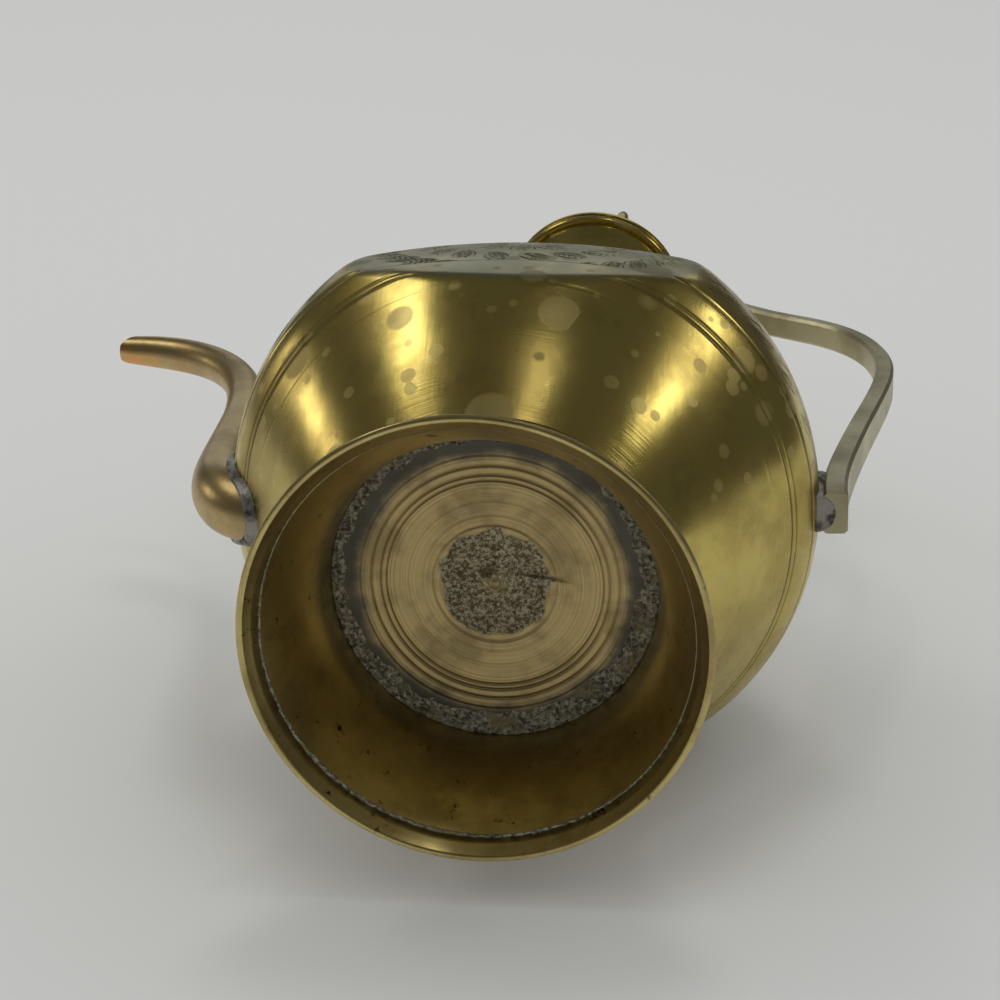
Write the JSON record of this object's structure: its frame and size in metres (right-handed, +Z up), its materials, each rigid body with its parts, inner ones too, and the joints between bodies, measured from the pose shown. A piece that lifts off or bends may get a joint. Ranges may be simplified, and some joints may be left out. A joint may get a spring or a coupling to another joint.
{
  "type": "lidded ewer",
  "caption": "Brass ewer with a flared foot, flattened round belly, curved spout, strap handle and a hinged domed lid with a turned finial.",
  "frame": {"origin": "middle of the foot, on the surface that the ewer stands on", "axes": "+Z up, spout towards -X, handle and lid hinge towards +X, flattened sides towards +Y and -Y"},
  "size_m": [0.1955, 0.1136, 0.3177],
  "materials": {
    "brass": "old polished brass with brown patina and round water spots",
    "copper_brass": "brushed reddish brass",
    "solder": "dull grey lead-tin solder, crusty inside the foot"
  },
  "bodies": {
    "pot": {"foot_rim": "brass", "foot_skirt": "brass", "rim_solder": "solder", "base_disc": "brass", "disc_solder": "solder", "lower_belly": "brass", "upper_belly": "brass", "neck_collar": "brass", "neck_tube": "brass", "mouth_rim": "brass", "spout": "copper_brass", "spout_solder": "solder", "handle": "brass", "handle_foot_solder": "solder", "handle_neck_solder": "solder", "hinge_bracket": "brass", "hinge_pin": "brass"},
    "lid": {"hinge_leaf": "brass", "lid_flange": "brass", "lid_dome": "brass", "lid_sleeve": "brass", "finial": "brass", "finial_rivet": "brass"}
  },
  "joints": [
    {"name": "lid_hinge", "type": "hinge", "parent": "pot", "child": "lid", "pos_m": [0.032, 0, 0.235], "axis": [0, 1, 0], "range_deg": [0, 100]}
  ]
}
